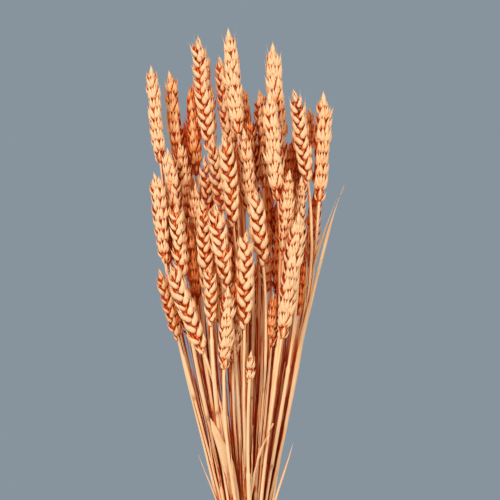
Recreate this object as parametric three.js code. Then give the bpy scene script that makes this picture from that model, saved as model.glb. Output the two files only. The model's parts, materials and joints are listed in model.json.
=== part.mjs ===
// A bundle of dried wheat, dyed coral, tied with twine and standing on its cut stems.
// Millimetres, +Z up. Every stalk is one grown piece: a straw stem with its ear on top.
import * as THREE from 'three';

// ---- Driving dimensions -------------------------------------------------------------------------
const TIE = { height: 125, band: 15, thickness: 2.6 };  // middle, height and thickness of the binding
const STEM = { foot: 1.7, neck: 1.2 };                  // stem radius at the cut end and below the ear
const WAIST_RADIUS = 13;                                // reach of the outermost stem centres in the tie
const FOOT_SPREAD = 2.1;                                // how far the stems splay again below the tie
const STEM_BOW = 0.68;                                  // slope above the tie / slope of the straight way
const GAP = 0.35;                                       // clear space kept between neighbours
const EAR_FLATNESS = 0.86;                              // width across the rows / width across the fan
const SIDES = 6;                                        // facets round a stalk

// Heights at which a stem may change direction; it is straight between them.
const LEVELS = [0, 55, 110, 140, 172, 206, 240, 275, 310, 345, 380, 415, 450, 485, 520, 560, 605];
const TIE_BOTTOM_LEVEL = 2;
const TIE_TOP_LEVEL = 3;

// Outline of an ear from its base (0) to its tip (1), as a share of its half width.
const EAR_OUTLINE = [[0.03, 0.42], [0.12, 0.86], [0.35, 1], [0.72, 0.92], [0.9, 0.58], [0.97, 0.26]];

// One row for each stalk: ear tip (x, z), ear base (x, z), depth y (negative is the front),
// width of the ear across its fan, and turn in degrees (0 shows the fans to the front, 90 the two rows).
const STALKS = [
  // the tallest, standing clear at the top
  [-82, 571, -73, 486, -4, 12.5, 8],
  [-66, 567, -59, 484, 16, 12.5, -14],
  [-48, 558, -44, 478, 20, 12.5, 20],
  [-42, 597, -31, 497, 10, 13.5, 62],
  [-16, 601, -7, 512, -6, 15, -6],
  [-23, 580, -12, 490, 14, 13, 46],
  [-5, 555, 5, 478, 18, 12, 12],
  [21, 588, 30, 490, 4, 15, 4],
  [19, 547, 27, 454, -20, 14.5, -10],
  [11, 553, 14, 468, 14, 11.5, 30],
  [1, 532, 7, 455, 2, 11, -32],
  [40, 552, 52, 468, -8, 12.5, 84],
  [54, 539, 48, 463, 18, 11.5, 28],
  [66, 546, 61.5, 455, -2, 14.5, 10],
  // the middle of the head
  [60, 472, 53, 400, 8, 11.5, -24],
  [-77, 482, -68.5, 402, -24, 12.5, 14],
  [-67, 501, -59, 421, -10, 12.5, -20],
  [-57, 508, -52, 431, 4, 12, 38],
  [-53, 527, -50, 450, 24, 12, 6],
  [-43, 474, -41, 395, -6, 12, -30],
  [-36, 497, -32, 421, 0, 11.5, 96],
  [-37, 459, -33, 371, -32, 12.5, 82],
  [-30, 512, -20, 442, -8, 12, 78],
  [-19, 512, -11, 431, -26, 13.5, 98],
  [-2, 518, 3, 442, -10, 12.5, 16],
  [-27, 453, -16, 380, -38, 13.5, 86],
  [6, 467, 14, 400, -30, 13.5, 92],
  [36, 484, 31, 405, -26, 11, 20],
  [46, 478, 44, 402, -14, 10.5, -16],
  [33, 506, 35, 433, 4, 10.5, 34],
  [39, 514, 43, 438, 20, 11.5, -8],
  [-71, 453, -64, 395, -8, 12, 30],
  [-60, 455, -53, 388, -26, 12, 72],
  [-52, 444, -42, 366, -16, 12.5, 0],
  [16, 442, 16, 376, -12, 10, 40],
  // the short ones that lean out low at the front
  [-65, 404, -35, 326, -44, 14, 84],
  [-74, 402, -57, 337, -22, 10.5, 58],
  [-31, 406, -29, 350, -48, 10, 90],
  [-15, 385, -19, 314, -50, 11.5, 12],
  [-1, 430, -2, 348, -44, 13.5, 94],
  [-8, 402, -11, 319, -30, 10.5, -12],
  [44, 444, 29, 340, -36, 14.5, 18],
  [4, 337, 2, 303, -44, 8, 0],
  [-55, 368, -42, 327, -14, 11, 24],
  [24, 382, 20, 331, -26, 10, -20],
  // the back of the head
  [-47, 476, -42, 398, 38, 12.5, 70],
  [-11, 508, -6, 430, 40, 13, -16],
  [17, 498, 20, 418, 36, 13.5, 30],
  [-11, 464, -8, 384, 44, 13, 40],
  [53, 434, 43, 356, 26, 12, 10],
  [-32, 420, -21, 344, 46, 12.5, 20],
  [8, 404, 5, 330, 52, 12.5, 80],
  [28, 456, 26, 374, 34, 13, 10],
];

// Loose leaves caught in the tie: the way up from the tie (x, y, z), half width and half thickness
// at the broadest point, which lies at the share `broad` of the length, and turn in degrees.
const LEAVES = {
  leaf_long: { way: [[36, -6, 275], [49, -8, 348], [62, -10, 397], [71, -12, 438], [82, -14, 467]],
    half: [2.1, 0.6], broad: 0.55, turn: 20 },
  leaf_narrow: { way: [[33, -2, 275], [44, -2, 348], [57, -4, 397], [66, -5, 431], [76, -6, 456]],
    half: [1.7, 0.55], broad: 0.6, turn: 55 },
  sheath_open: { way: [[-12, -25, 206], [-19, -31, 240], [-31, -38, 273]],
    half: [4.4, 0.7], broad: 0.72, turn: -6 },
  leaf_curled: { way: [[2, -27, 215], [9, -31, 240], [22, -36, 268]],
    half: [2.0, 0.8], broad: 0.6, turn: 30 },
  leaf_stub: { way: [[25, -12, 206], [35, -14, 234], [39, -15, 250]],
    half: [1.4, 0.7], broad: 0.3, turn: 10 },
  leaf_thread: { way: [[-28, -14, 206], [-36, -17, 224], [-41, -19, 240]],
    half: [0.8, 0.5], broad: 0.3, turn: 0 },
};
const LEAF_FOOT = 96;   // the leaves end just below the tie

// ---- Where each strand wants to run --------------------------------------------------------------
const lerp = THREE.MathUtils.lerp;
const along = (z, z0, z1) => (z - z0) / (z1 - z0);

// Value at z of the straight pieces through [z, value] pairs.
function pieces(pairs, z) {
  let k = 1;
  while (k < pairs.length - 1 && z > pairs[k][0]) k += 1;
  const [[z0, v0], [z1, v1]] = [pairs[k - 1], pairs[k]];
  return lerp(v0, v1, along(z, z0, z1));
}

// Smooth way from p0 to p1 that leaves with slope m0 and arrives with slope m1.
function hermite(p0, m0, p1, m1, length, t) {
  const s = t * t * (3 - 2 * t);
  return lerp(p0, p1, s) + length * (m0 * t * (1 - t) * (1 - t) - m1 * t * t * (1 - t));
}

const tieTop = LEVELS[TIE_TOP_LEVEL];
const tieBottom = LEVELS[TIE_BOTTOM_LEVEL];

// Place in the tie of a strand that fans out to (x, y): the same side, drawn in to the waist.
function waistPlace(x, y) {
  const reach = Math.hypot(x / 78, y / 52);
  return new THREE.Vector2(x / 78, y / 52).multiplyScalar(WAIST_RADIUS / Math.max(1, reach));
}

function stalkStrand([tipX, tipZ, baseX, baseZ, depth, fan, turn], index) {
  const waist = waistPlace(baseX, depth);
  const lean = new THREE.Vector2((tipX - baseX) / (tipZ - baseZ), depth * 0.0004);
  const base = new THREE.Vector2(baseX, depth);
  const length = baseZ - tieTop;
  const way = (axis, z) => {
    const leave = STEM_BOW * (base[axis] - waist[axis]) / length;
    if (z <= tieBottom) return waist[axis] * lerp(FOOT_SPREAD, 1, z / tieBottom);
    if (z <= tieTop) return waist[axis];
    if (z >= baseZ) return base[axis] + lean[axis] * (z - baseZ);
    return hermite(waist[axis], leave, base[axis], lean[axis], length, (z - tieTop) / length);
  };
  const stout = 1 + 0.06 * Math.sin(2.4 * index);       // no two stems are quite the same
  const half = fan / 2;
  const outline = [[0, STEM.foot * stout], [baseZ, STEM.neck * stout],
    ...EAR_OUTLINE.map(([u, share]) => [lerp(baseZ, tipZ, u), half * share]), [tipZ, 0]];
  return {
    name: `wheat_stalk_${String(index + 1).padStart(2, '0')}`,
    slot: 'straw', top: tipZ, bottom: 0, earFrom: baseZ, turn,
    target: (z) => new THREE.Vector2(way('x', z), way('y', z)),
    half: (z) => {
      const wide = pieces(outline, z);
      const flat = z > baseZ ? lerp(1, EAR_FLATNESS, Math.min(1, (z - baseZ) / 6)) : 1;
      return [wide, wide * flat];
    },
    rings: [baseZ, ...EAR_OUTLINE.map(([u]) => lerp(baseZ, tipZ, u))],
  };
}

function leafStrand(name, { way, half, broad, turn }) {
  const waist = waistPlace(way[0][0] * 1.6, way[0][1] * 1.6);
  const freeWay = (axis) => way.map((p) => [p[2], p[axis === 'x' ? 0 : 1]]);
  const route = (axis, z) => pieces(
    [[LEAF_FOOT, waist[axis]], [tieTop, waist[axis]], ...freeWay(axis)], z);
  const top = way.at(-1)[2];
  const broadZ = lerp(tieTop, top, broad);
  const wide = [[LEAF_FOOT, 0.9], [tieTop, 0.9], [broadZ, half[0]],
    [lerp(broadZ, top, 0.7), half[0] * 0.6], [top, 0]];
  const thick = [[LEAF_FOOT, 0.9], [tieTop, 0.9], [broadZ, half[1]],
    [lerp(broadZ, top, 0.7), half[1] * 0.8], [top, 0]];
  return {
    name, slot: 'leaf', top, bottom: LEAF_FOOT, earFrom: top, turn,
    target: (z) => new THREE.Vector2(route('x', z), route('y', z)),
    half: (z) => [pieces(wide, z), pieces(thick, z)],
    rings: [broadZ, lerp(broadZ, top, 0.7)],
  };
}

const strands = [
  ...STALKS.map(stalkStrand),
  ...Object.entries(LEAVES).map(([name, leaf]) => leafStrand(name, leaf)),
];
for (const strand of strands) {
  strand.points = LEVELS.map((z) => strand.target(z));
  strand.goals = strand.points.map((p) => p.clone());
  const angle = THREE.MathUtils.degToRad(strand.turn);
  strand.fanAxis = new THREE.Vector2(Math.cos(angle), Math.sin(angle));
}

// ---- Let the strands find room beside one another ------------------------------------------------
const CHECK_STEP = 5;           // mm of height between the checks for room
const ROUNDS = 420;             // rounds of making room while the strands are held to their ways
const LAST_ROUNDS = 260;        // rounds of making room alone

function place(strand, z) {
  let k = 1;
  while (k < LEVELS.length - 1 && z > LEVELS[k]) k += 1;
  const t = along(z, LEVELS[k - 1], LEVELS[k]);
  const [a, b] = [strand.points[k - 1], strand.points[k]];
  return { k, t, x: lerp(a.x, b.x, t), y: lerp(a.y, b.y, t) };
}

// Half width of a strand's section at z, seen along the direction (dx, dy).
function reachAlong(strand, [wide, thick], dx, dy) {
  const u = dx * strand.fanAxis.x + dy * strand.fanAxis.y;
  const v = dy * strand.fanAxis.x - dx * strand.fanAxis.y;
  return Math.hypot(wide * u, thick * v);
}

function shift(strand, { k, t }, dx, dy) {
  const tied = (i) => i === TIE_BOTTOM_LEVEL || i === TIE_TOP_LEVEL;
  for (const [i, share] of [[k - 1, 1 - t], [k, t]]) {
    const levels = tied(i) ? [TIE_BOTTOM_LEVEL, TIE_TOP_LEVEL] : [i];
    for (const level of levels) {
      strand.points[level].x += dx * share;
      strand.points[level].y += dy * share;
    }
  }
}

const heights = [];
for (let z = 0; z < LEVELS.at(-1); z += CHECK_STEP) heights.push(z);
const sections = new Map(strands.map((s) => [s, heights.map((z) => s.half(Math.min(z, s.top)))]));

function makeRoom(gap) {
  let worst = 0;
  heights.forEach((z, row) => {
    const here = strands.filter((s) => z >= s.bottom - CHECK_STEP && z <= s.top)
      .map((s) => ({ s, at: place(s, z), half: sections.get(s)[row] }));
    for (let i = 0; i < here.length; i += 1) {
      for (let j = i + 1; j < here.length; j += 1) {
        const [a, b] = [here[i], here[j]];
        let dx = b.at.x - a.at.x;
        let dy = b.at.y - a.at.y;
        const far = a.half[0] + b.half[0] + gap + 1;
        if (Math.abs(dx) > far || Math.abs(dy) > far) continue;
        const distance = Math.max(1e-6, Math.hypot(dx, dy));
        dx /= distance;
        dy /= distance;
        const need = reachAlong(a.s, a.half, dx, dy) + reachAlong(b.s, b.half, dx, dy) + gap;
        const short = need - distance;
        if (short <= 0) continue;
        worst = Math.max(worst, short);
        const ears = z > a.s.earFrom || z > b.s.earFrom;
        const sideways = ears ? 0.45 : 1;               // ears make room mostly in depth
        const push = 0.5 * short;
        const depthPush = push * (dy === 0 ? 1 : dy);
        shift(a.s, a.at, -push * dx * sideways, -depthPush);
        shift(b.s, b.at, push * dx * sideways, depthPush);
      }
    }
  });
  return worst;
}

function holdTogether(strand) {
  const { points, goals } = strand;
  const wander = points.map((p, k) => p.clone().sub(goals[k]));
  points.forEach((p, k) => {
    const tied = k === TIE_BOTTOM_LEVEL || k === TIE_TOP_LEVEL;
    if (tied) return;
    const ear = LEVELS[k] > strand.earFrom - 40;
    p.x -= wander[k].x * (ear ? 0.1 : 0.03);
    p.y -= wander[k].y * 0.02;
    if (k > 0 && k < points.length - 1) {
      p.x += 0.15 * ((wander[k - 1].x + wander[k + 1].x) / 2 - wander[k].x);
      p.y += 0.15 * ((wander[k - 1].y + wander[k + 1].y) / 2 - wander[k].y);
    }
  });
  // the binding draws every strand towards the middle of the waist
  const pull = 0.006;
  for (const level of [TIE_BOTTOM_LEVEL, TIE_TOP_LEVEL]) points[level].multiplyScalar(1 - pull);
}

for (let round = 0; round < ROUNDS; round += 1) {
  makeRoom(GAP + 0.1);
  strands.forEach(holdTogether);
}
let short = 1;
for (let round = 0; round < LAST_ROUNDS && short > 0.02; round += 1) short = makeRoom(GAP + 0.1);
if (short > GAP) throw new Error(`neighbours still lack ${short.toFixed(2)} mm of room`);

// ---- Solids --------------------------------------------------------------------------------------
function dull(name, color, roughness) {
  return new THREE.MeshStandardMaterial({ name, color, roughness, metalness: 0 });
}
const MATERIALS = {
  straw: dull('dyed_straw', '#e0955c', 0.68),
  leaf: dull('dyed_leaf', '#e8a66c', 0.72),
  twine: dull('jute_twine', '#b98d5c', 0.9),
};

// A strand: a lathe turned round a straight axis, then laid level by level on the strand's way.
function strandMesh(strand) {
  const inside = LEVELS.filter((z) => z > strand.bottom + 3 && z < strand.top - 3
    && strand.rings.every((ring) => Math.abs(ring - z) > 3));
  const rings = [strand.bottom, ...inside, ...strand.rings].sort((a, b) => a - b);
  const profile = [new THREE.Vector2(0, strand.bottom), ...rings.map((z) => new THREE.Vector2(1, z)),
    new THREE.Vector2(0, strand.top)];
  const geometry = new THREE.LatheGeometry(profile, SIDES).rotateX(Math.PI / 2);
  const position = geometry.getAttribute('position');
  const v = new THREE.Vector3();
  for (let i = 0; i < position.count; i += 1) {
    v.fromBufferAttribute(position, i);
    const at = place(strand, v.z);
    const [wide, thick] = strand.half(v.z);
    const { x: cos, y: sin } = strand.fanAxis;
    const [fan, rows] = [v.x * wide, v.y * thick];
    position.setXYZ(i, at.x + fan * cos - rows * sin, at.y + fan * sin + rows * cos, v.z);
  }
  geometry.computeVertexNormals();
  const mesh = new THREE.Mesh(geometry, MATERIALS[strand.slot]);
  mesh.name = strand.name;
  return mesh;
}

// Convex outline round a set of 2-D points, anticlockwise.
function hull(points) {
  const sorted = [...points].sort((p, q) => p.x - q.x || p.y - q.y);
  const half = (list) => {
    const out = [];
    for (const p of list) {
      while (out.length > 1) {
        const [a, b] = out.slice(-2);
        if ((b.x - a.x) * (p.y - a.y) - (b.y - a.y) * (p.x - a.x) > 1e-9) break;
        out.pop();
      }
      out.push(p);
    }
    out.pop();
    return out;
  };
  return [...half(sorted), ...half(sorted.reverse())];
}

// The binding: a band drawn tight round the strands at the waist.
function tieMesh() {
  const outlineAt = (clearance) => hull(strands.flatMap((strand) => {
    const at = place(strand, TIE.height);
    const radius = Math.max(...strand.half(TIE.height)) + clearance;
    return Array.from({ length: 16 }, (_, i) => new THREE.Vector2(
      at.x + radius * Math.cos(i * Math.PI / 8), at.y + radius * Math.sin(i * Math.PI / 8)));
  }));
  const band = new THREE.Shape(outlineAt(GAP + TIE.thickness));
  band.holes.push(new THREE.Path(outlineAt(GAP)));
  const geometry = new THREE.ExtrudeGeometry(band, { depth: TIE.band, bevelEnabled: false });
  geometry.translate(0, 0, TIE.height - TIE.band / 2);
  const mesh = new THREE.Mesh(geometry, MATERIALS.twine);
  mesh.name = 'twine_tie';
  return mesh;
}

const bundle = new THREE.Group();
bundle.name = 'wheat_bundle';
bundle.add(...strands.map(strandMesh), tieMesh());

// Stand the bundle over the origin: its box centred on the Z axis, its cut ends at z = 0.
const box = new THREE.Box3().setFromObject(bundle);
const middle = box.getCenter(new THREE.Vector3());
for (const mesh of bundle.children) mesh.geometry.translate(-middle.x, -middle.y, -box.min.z);

export default bundle;
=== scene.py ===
# %% [markdown]
# # A bundle of dried wheat, dyed coral
#
# A florist's bundle: about fifty stalks of common wheat, dried, dyed a warm coral and tied with
# twine. Each stalk is a hollow straw that ends in an ear. The ear is a zigzag stalk, the rachis,
# with spikelets left and right, and each spikelet is a fan of papery husks.
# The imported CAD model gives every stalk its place, lean and turn. Here each one is regrown in
# detail along its own line. Lengths are in metres, as in the frame, and MM turns millimetres
# into them.

# %% Load the frame
import json
import math
import random

import bmesh
import bpy
import numpy as np
from mathutils import Matrix, Vector

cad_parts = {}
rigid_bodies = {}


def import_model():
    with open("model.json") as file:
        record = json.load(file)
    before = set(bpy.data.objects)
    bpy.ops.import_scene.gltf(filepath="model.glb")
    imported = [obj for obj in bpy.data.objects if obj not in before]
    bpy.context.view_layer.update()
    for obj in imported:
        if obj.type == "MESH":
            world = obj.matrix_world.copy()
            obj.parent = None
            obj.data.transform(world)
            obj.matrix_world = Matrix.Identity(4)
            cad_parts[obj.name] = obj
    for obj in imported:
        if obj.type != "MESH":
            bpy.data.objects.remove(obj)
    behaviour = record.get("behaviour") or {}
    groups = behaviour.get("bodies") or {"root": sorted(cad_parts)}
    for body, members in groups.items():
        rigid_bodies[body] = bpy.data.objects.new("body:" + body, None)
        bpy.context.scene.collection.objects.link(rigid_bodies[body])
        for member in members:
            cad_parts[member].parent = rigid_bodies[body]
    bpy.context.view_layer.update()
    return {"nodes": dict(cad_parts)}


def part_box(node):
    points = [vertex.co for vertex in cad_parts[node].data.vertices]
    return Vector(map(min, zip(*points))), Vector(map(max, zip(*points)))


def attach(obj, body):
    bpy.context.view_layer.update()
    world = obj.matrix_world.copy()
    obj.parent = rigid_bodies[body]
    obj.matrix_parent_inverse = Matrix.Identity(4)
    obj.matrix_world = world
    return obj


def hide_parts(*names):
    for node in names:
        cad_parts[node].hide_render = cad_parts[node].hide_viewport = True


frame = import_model()
MM = 0.001
nodes = frame["nodes"]

# %% [markdown]
# ## Helpers
#
# Colours are written as sRGB hex, the way a dye chart gives them, and one function turns them
# into the linear values that Cycles wants. Every node tree below, for shapes and for materials,
# is built with one other function, which adds a node, sets its properties and fills its inputs.
# It could be done by hand in the editor, but a script can be read, compared and run again.

# %% Helpers
def linear(hex_colour):
    """sRGB hex such as '#f0a868' as a linear, opaque RGBA tuple."""
    channels = [int(hex_colour[i:i + 2], 16) / 255 for i in (1, 3, 5)]
    return tuple(c / 12.92 if c <= 0.04045 else ((c + 0.055) / 1.055) ** 2.4 for c in channels) + (1.0,)


def add(tree, kind, inputs=None, **settings):
    """Adds a node of a kind, sets its properties and fills its inputs with values, sockets or nodes."""
    node = tree.nodes.new(kind)
    for name, value in settings.items():
        setattr(node, name, value)
    for key, value in (inputs or {}).items():
        if isinstance(value, bpy.types.Node):      # a node stands for the first output it offers
            value = next(socket for socket in value.outputs if socket.enabled)
        if isinstance(value, bpy.types.NodeSocket):
            tree.links.new(value, node.inputs[key])
        else:
            node.inputs[key].default_value = value
    return node


def set_ramp(ramp, stops):
    """Fills a colour ramp with (position, hex) stops."""
    while len(ramp.elements) > 1:
        ramp.elements.remove(ramp.elements[-1])
    ramp.elements[0].position = stops[0][0]
    ramp.elements[0].color = linear(stops[0][1])
    for position, colour in stops[1:]:
        ramp.elements.new(position).color = linear(colour)


def set_curve(mapping, points):
    """Fills a float curve with (position, value) points from 0 to 1."""
    curve = mapping.curves[0]
    curve.points[0].location = points[0]
    curve.points[1].location = points[-1]
    for position, value in points[1:-1]:
        curve.points.new(position, value)
    mapping.update()


def new_tree(name, inputs, output):
    """A Geometry Nodes tree with named inputs, each of a kind, and one geometry output."""
    tree = bpy.data.node_groups.new(name, "GeometryNodeTree")
    for label, kind in inputs.items():
        tree.interface.new_socket(name=label, in_out="INPUT", socket_type="NodeSocket" + kind)
    tree.interface.new_socket(name=output, in_out="OUTPUT", socket_type="NodeSocketGeometry")
    return tree, add(tree, "NodeGroupInput").outputs


def new_material(name):
    material = bpy.data.materials.new(name)
    material.use_nodes = True
    material.node_tree.nodes.clear()
    return material, material.node_tree


CELLULOSE_IOR = 1.5


def finish_material(tree, colour, bump, roughness):
    """Ends a material in a matt surface of plant fibre."""
    shader = add(tree, "ShaderNodeBsdfPrincipled",
                 {"Base Color": colour, "Normal": bump, "Roughness": roughness,
                  "IOR": CELLULOSE_IOR, "Specular IOR Level": 0.25})
    add(tree, "ShaderNodeOutputMaterial", {"Surface": shader})


# %% [markdown]
# ## Dyed husk
#
# The husks of an ear (glumes and lemmas) are dry and papery, with fine raised veins that run from
# the base to the tip. The bundle is dyed rust-coral, pale cream on the backs of the outer husks.
# The colour is painted shade as well as dye: the gaps between husks, their inner sides and the
# middle of the bundle are painted deep rust, because rendered shade alone turns brown while the
# rust should stay a strong orange. The finished shapes carry an attribute, `light`, from 0 for
# never lit to 1 for open to all sides, and a ramp turns it into painted shade and dye. The
# attribute `husk` says where on its husk a point lies: across, along and inside. The attribute
# `tone` makes some ears darker: partly at random, and as painted shade on ears that stand behind.

# %% Husk material
VEINS = 7                       # raised veins across the back of a husk
BLOTCH = 3 * MM                 # width of the blotches where the dye took unevenly
# a husk with OPEN light or more gets no painted shade
OPEN = 0.85                     # a husk with this much light is fully bleached
# colours from full painted shade (never lit) to the pale dye (fully lit); every material of the plant shares
# them
DYE_AND_PAINTED_SHADE_RAMP = [(0.0, "#b5380a"), (0.12, "#cf4a12"), (0.24, "#df6220"), (0.36, "#e6843f"), (0.48, "#eaa668"),
             (0.62, "#eebe8b"), (0.80, "#f1cc9e"), (1.0, "#f3d4ac")]


def dyed_husk():
    material, tree = new_material("dyed_wheat_husk")
    place = add(tree, "ShaderNodeTexCoord").outputs["Object"]
    spot = add(tree, "ShaderNodeAttribute", attribute_name="husk").outputs["Vector"]
    light, tone = [add(tree, "ShaderNodeAttribute", attribute_name=name).outputs["Fac"]
                   for name in ("light", "tone")]
    across, along, inner_shade_mask = add(tree, "ShaderNodeSeparateXYZ", {0: spot}).outputs
    # a low tone paints the whole ear darker: random tone, and painted shade on ears that stand behind others
    toned = add(tree, "ShaderNodeMapRange", {0: tone, 1: 0.0, 2: 0.6, 3: 0.46, 4: 1.0})
    opened = add(tree, "ShaderNodeMapRange", {0: light, 1: 0.0, 2: OPEN, 3: 0.0, 4: 1.0})
    painted_shade_level = add(tree, "ShaderNodeMath", {0: opened, 1: toned}, operation="MULTIPLY")
    # blotches bend the line between deep and pale
    blotch = add(tree, "ShaderNodeTexNoise", {"Vector": place, "Scale": 1 / BLOTCH, "Detail": 3.0})
    uneven = add(tree, "ShaderNodeMapRange", {0: blotch, 1: 0.3, 2: 0.7, 3: -0.09, 4: 0.09})
    level = add(tree, "ShaderNodeMath", {0: painted_shade_level, 1: uneven}, operation="ADD")
    # painted shade: the foot of a husk, its thin margins and its inner side are painted deeper rust, where
    # husks overlap and shade one another
    foot = add(tree, "ShaderNodeMapRange", {0: along, 1: 0.0, 2: 0.2, 3: -0.3, 4: 0.0})
    edge = add(tree, "ShaderNodeMath", {0: across, 1: 4.0}, operation="POWER")
    edge_and_foot_shade = add(tree, "ShaderNodeMath", {0: edge, 1: -0.16, 2: foot}, operation="MULTIPLY_ADD")
    painted_shade_marks = add(tree, "ShaderNodeMath", {0: inner_shade_mask, 1: -0.3, 2: edge_and_foot_shade}, operation="MULTIPLY_ADD")
    total = add(tree, "ShaderNodeMath", {0: level, 1: painted_shade_marks}, operation="ADD")
    dye_and_painted_shade = add(tree, "ShaderNodeValToRGB", {0: total})
    set_ramp(dye_and_painted_shade.color_ramp, DYE_AND_PAINTED_SHADE_RAMP)
    # veins: ridges across, broken by a grain stretched along the husk
    phase = add(tree, "ShaderNodeMath", {0: across, 1: VEINS * math.pi}, operation="MULTIPLY")
    ridge = add(tree, "ShaderNodeMath", {0: phase}, operation="COSINE")
    stretched = add(tree, "ShaderNodeMapping", {"Vector": spot, "Scale": (9.0, 2.0, 5.0)})
    grain = add(tree, "ShaderNodeTexNoise", {"Vector": stretched, "Scale": 1.6, "Detail": 4.0})
    relief = add(tree, "ShaderNodeMath", {0: ridge, 1: 0.35, 2: grain}, operation="MULTIPLY_ADD")
    groove = add(tree, "ShaderNodeMapRange", {0: ridge, 1: 0.3, 2: 1.0, 3: 0.0, 4: 0.16})
    veined = add(tree, "ShaderNodeMix", {0: groove, 6: dye_and_painted_shade, 7: linear("#dc7c34")}, data_type="RGBA")
    bump = add(tree, "ShaderNodeBump", {"Height": relief, "Strength": 0.5, "Distance": 0.12 * MM})
    finish_material(tree, veined, bump, roughness=0.62)
    return material


husk_material = dyed_husk()
print("material:", husk_material.name)

# %% [markdown]
# ## Dyed straw
#
# The stem is straw: a hollow tube with a silky skin over long fibres, so its streaks run
# lengthwise and its gloss is a little stronger than the husk's. The joints, called nodes, are
# darker and matt. The streaks could follow the object's height, but a leaning straw would show
# them slanted. So they use the ring position and the length that the sweep leaves on the stem.

# %% Straw material
STREAK_LENGTH = 40 * MM
STREAKS_ROUND = 1.5             # streaks in one radius of the stem, each just under a millimetre
# straws and leaves get full painted shade up to the first of these lights and none from the second
PAINTED_SHADE_LIGHTS = (0.26, 0.72)


def dyed_straw():
    material, tree = new_material("dyed_wheat_straw")
    light, tone, knot, run = [add(tree, "ShaderNodeAttribute", attribute_name=name).outputs["Fac"]
                              for name in ("light", "stalk_tone", "knot", "run")]
    ring = add(tree, "ShaderNodeAttribute", attribute_name="ring").outputs["Vector"]
    round_x, round_y, _ = add(tree, "ShaderNodeSeparateXYZ", {0: ring}).outputs
    # one unit of the pattern is a stem's radius round and STREAK_LENGTH along
    shifted = add(tree, "ShaderNodeMath", {0: tone, 1: 37.0}, operation="MULTIPLY")
    lengthwise = add(tree, "ShaderNodeMath", {0: run, 1: 1 / STREAK_LENGTH, 2: shifted},
                     operation="MULTIPLY_ADD")
    place = add(tree, "ShaderNodeCombineXYZ", {0: round_x, 1: round_y, 2: lengthwise})
    streak = add(tree, "ShaderNodeTexNoise",
                 {"Vector": place, "Scale": STREAKS_ROUND, "Detail": 4.0, "Roughness": 0.6})
    streaks = add(tree, "ShaderNodeMapRange", {0: streak, 1: 0.32, 2: 0.68, 3: -0.5, 4: 0.3})
    tones = add(tree, "ShaderNodeMath", {0: tone, 1: 0.16, 2: streaks}, operation="MULTIPLY_ADD")
    # painted shade: on straw it turns over a narrower range of light than on the husks, so open and shaded
    # straws differ more
    dark, bright = PAINTED_SHADE_LIGHTS
    painted_shade_level = add(tree, "ShaderNodeMapRange", {0: light, 1: dark, 2: bright, 3: -0.1, 4: 0.95})
    level = add(tree, "ShaderNodeMath", {0: painted_shade_level, 1: tones}, operation="ADD")
    dye_and_painted_shade = add(tree, "ShaderNodeValToRGB", {0: level})
    set_ramp(dye_and_painted_shade.color_ramp, DYE_AND_PAINTED_SHADE_RAMP)
    jointed = add(tree, "ShaderNodeMix", {0: knot, 6: dye_and_painted_shade, 7: linear("#a04a1e")}, data_type="RGBA")
    bump = add(tree, "ShaderNodeBump", {"Height": streak, "Strength": 0.5, "Distance": 0.18 * MM})
    finish_material(tree, jointed, bump, roughness=0.5)
    return material


straw_material = dyed_straw()
print("material:", straw_material.name)

# %% [markdown]
# ## Cut straw
#
# The foot of every straw was cut across. The cut shows pale, rough pith round a hollow. The
# grain is half a millimetre wide, about the size of the torn bundles of fibre.

# %% Cut end material
def cut_straw():
    material, tree = new_material("cut_straw_end")
    place = add(tree, "ShaderNodeTexCoord").outputs["Object"]
    grain = add(tree, "ShaderNodeTexNoise", {"Vector": place, "Scale": 1 / (0.5 * MM), "Detail": 3.0})
    colour = add(tree, "ShaderNodeMix", {0: grain, 6: linear("#8d4a20"), 7: linear("#e9bd8b")},
                 data_type="RGBA")
    bump = add(tree, "ShaderNodeBump", {"Height": grain, "Strength": 0.5, "Distance": 0.2 * MM})
    finish_material(tree, colour, bump, roughness=0.85)
    return material


cut_material = cut_straw()
print("material:", cut_material.name)

# %% [markdown]
# ## Dyed leaf
#
# A wheat leaf is a sheath that wraps the straw and a long narrow blade. Dry, it is papery, with
# straight veins about half a millimetre apart, and it crinkles and rolls inwards. It is painted
# paler than the straw where the measured light is high and rust where it is low: painted shade.
# The attribute `leaf` holds the distance across the flat blade and the height, so the veins stay
# straight on a rolled one.

# %% Leaf material
VEIN_SPACING = 0.5 * MM
LEAF_STREAK = (1.2 * MM, 22 * MM)      # width and length of the streaks


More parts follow.
